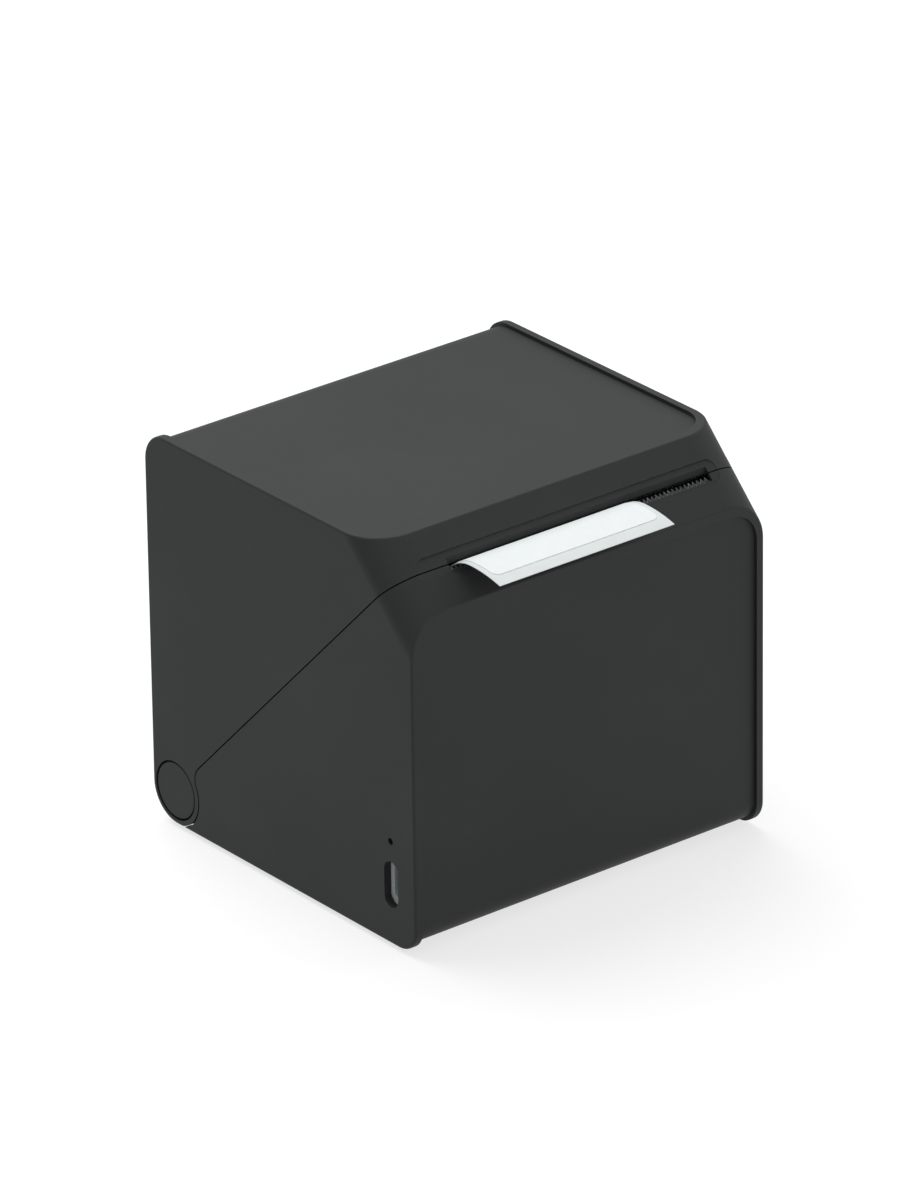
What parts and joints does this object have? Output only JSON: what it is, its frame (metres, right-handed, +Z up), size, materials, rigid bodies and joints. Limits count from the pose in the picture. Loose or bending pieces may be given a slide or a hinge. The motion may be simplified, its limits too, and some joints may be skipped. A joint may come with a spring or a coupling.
{
  "type": "label printer",
  "caption": "Desktop label printer: a cube-like clamshell case whose diagonal lid turns on round hinge pins over a roll bay, platen, print head, tear bar and front paper slot.",
  "frame": {"origin": "on the table at the middle of the body's width and depth, in the plane of the rubber foot", "axes": "+Z up, the front with the paper slot faces -Y, the port side is -X"},
  "size_m": [0.108, 0.1118, 0.103],
  "materials": {
    "body_plastic": "fine matte texture",
    "inner_plastic": "fine matte texture",
    "grey_plastic": "smooth matte",
    "rubber": "matte",
    "platen_rubber": "ground matte",
    "steel": "plain rolled sheet",
    "tear_steel": "dark ground",
    "screw_steel": "zinc plated",
    "port_steel": "satin nickel",
    "aluminium": "extruded",
    "ceramic": "dark glazed",
    "brass": "turned",
    "gear_plastic": "moulded acetal",
    "board_green": "solder mask",
    "chip_black": "moulded",
    "socket_white": "moulded",
    "ribbon": "flat cable",
    "liner": "glassine paper",
    "label": "coated paper",
    "card": "wound card"
  },
  "bodies": {
    "base": {"base_shell": "body_plastic", "bottom_cover": "inner_plastic", "rubber_foot": "rubber", "cover_screws": "screw_steel", "hinge_pin_left": "body_plastic", "hinge_pin_right": "body_plastic", "roll_bucket": "inner_plastic", "fixed_guide": "grey_plastic", "mechanism_frame": "steel", "platen_bush_left": "brass", "platen_bush_right": "brass", "tear_bar": "tear_steel", "frame_screws": "screw_steel", "paper_ramp": "inner_plastic", "gap_sensor": "chip_black", "motor_can": "steel", "idler_stud": "steel", "main_board": "board_green", "board_chips": "chip_black", "board_capacitors": "aluminium", "board_sockets": "socket_white", "board_screws": "screw_steel", "usb_shell": "port_steel", "usb_tongue": "chip_black", "reset_switch": "chip_black", "button_board": "board_green", "button_switch": "chip_black", "catch_clips": "steel", "liner_web": "liner", "labels": "label"},
    "lid": {"lid_shell": "body_plastic", "head_bracket": "steel", "head_pivot_pin": "steel", "paper_bar": "steel", "bracket_screws": "screw_steel", "head_springs": "steel", "head_ribbon": "ribbon"},
    "print_head": {"heat_sink": "aluminium", "head_ceramic": "ceramic"},
    "platen": {"platen_shaft": "steel", "platen_rubber": "platen_rubber", "platen_gear": "gear_plastic"},
    "idler": {"idler_gear": "gear_plastic"},
    "pinion": {"motor_shaft": "steel", "motor_pinion": "brass"},
    "roll": {"label_roll": "label", "roll_core": "card"},
    "right_guide": {"sliding_guide": "grey_plastic"},
    "reset": {"reset_plunger": "socket_white"},
    "button": {"feed_button": "body_plastic"}
  },
  "joints": [
    {"name": "lid_hinge", "type": "hinge", "parent": "base", "child": "lid", "pos_m": [0, 0.042, 0.01], "axis": [-1, 0, 0], "range_deg": [0, 90]},
    {"name": "head_tilt", "type": "hinge", "parent": "lid", "child": "print_head", "pos_m": [0, -0.02759, 0.08878], "axis": [-1, 0, 0], "range_deg": [0, 1.5], "stiffness_Nm_per_rad": 0.3, "springref_deg": -5.73},
    {"name": "platen_spin", "type": "hinge", "parent": "base", "child": "platen", "pos_m": [0, -0.03895, 0.08378], "axis": [1, 0, 0], "continuous": true},
    {"name": "idler_spin", "type": "hinge", "parent": "base", "child": "idler", "pos_m": [0, -0.02956, 0.07367], "axis": [1, 0, 0], "continuous": true},
    {"name": "pinion_spin", "type": "hinge", "parent": "base", "child": "pinion", "pos_m": [0, -0.035, 0.0665], "axis": [1, 0, 0], "continuous": true},
    {"name": "roll_spin", "type": "hinge", "parent": "base", "child": "roll", "pos_m": [0, 0.007, 0.044], "axis": [1, 0, 0], "continuous": true},
    {"name": "guide_slide", "type": "slide", "parent": "base", "child": "right_guide", "axis": [1, 0, 0], "range_m": [0, 0.025]},
    {"name": "reset_press", "type": "slide", "parent": "base", "child": "reset", "axis": [1, 0, 0], "range_m": [0, 0.00025], "stiffness_N_per_m": 400, "springref_m": -0.0002},
    {"name": "button_press", "type": "slide", "parent": "base", "child": "button", "axis": [-1, 0, 0], "range_m": [0, 0.0006], "stiffness_N_per_m": 900, "springref_m": -0.0003}
  ],
  "couplings": [
    {"joint": "idler_spin", "follows": "platen_spin", "ratio": -1.3},
    {"joint": "pinion_spin", "follows": "platen_spin", "ratio": 2.6}
  ]
}
